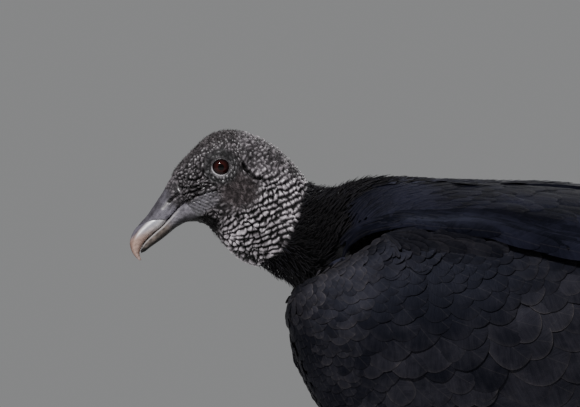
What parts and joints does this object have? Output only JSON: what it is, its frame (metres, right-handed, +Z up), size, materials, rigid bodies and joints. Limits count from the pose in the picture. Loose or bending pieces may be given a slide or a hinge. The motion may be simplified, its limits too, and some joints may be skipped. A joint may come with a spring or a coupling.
{
  "type": "black vulture model",
  "caption": "Life-size still model of a black vulture standing level with its wings folded and its head held low and forward.",
  "frame": {"origin": "on the ground under the middle of the bird's length and width", "axes": "+Z up, -X the way the bird faces, -Y its left side"},
  "size_m": [0.547, 0.199, 0.3303],
  "materials": {
    "plumage": "black contour feathers with a faint blue sheen and thin brown-grey edges",
    "bare_skin": "dark grey wrinkled bare skin",
    "bill_skin": "smooth blue-grey skin over the base of the bill",
    "horn": "polished pinkish ivory horn",
    "eye": "wet dark red-brown iris with a black pupil",
    "leg_scales": "dry whitish-grey scales",
    "claw": "worn dark horn"
  },
  "bodies": {
    "root": {"bill_hook": "horn", "bill_lower": "bill_skin", "bill_upper": "bill_skin", "claw_hind_left": "claw", "claw_hind_right": "claw", "claw_inner_left": "claw", "claw_inner_right": "claw", "claw_middle_left": "claw", "claw_middle_right": "claw", "claw_outer_left": "claw", "claw_outer_right": "claw", "eye_left": "eye", "eye_right": "eye", "head": "bare_skin", "neck": "plumage", "primaries_left": "plumage", "primaries_right": "plumage", "scapulars_left": "plumage", "scapulars_right": "plumage", "shank_left": "leg_scales", "shank_right": "leg_scales", "tail": "plumage", "thigh_left": "plumage", "thigh_right": "plumage", "toe_hind_left": "leg_scales", "toe_hind_right": "leg_scales", "toe_inner_left": "leg_scales", "toe_inner_right": "leg_scales", "toe_middle_left": "leg_scales", "toe_middle_right": "leg_scales", "toe_outer_left": "leg_scales", "toe_outer_right": "leg_scales", "trunk": "plumage", "wing_left": "plumage", "wing_right": "plumage"}
  },
  "joints": []
}
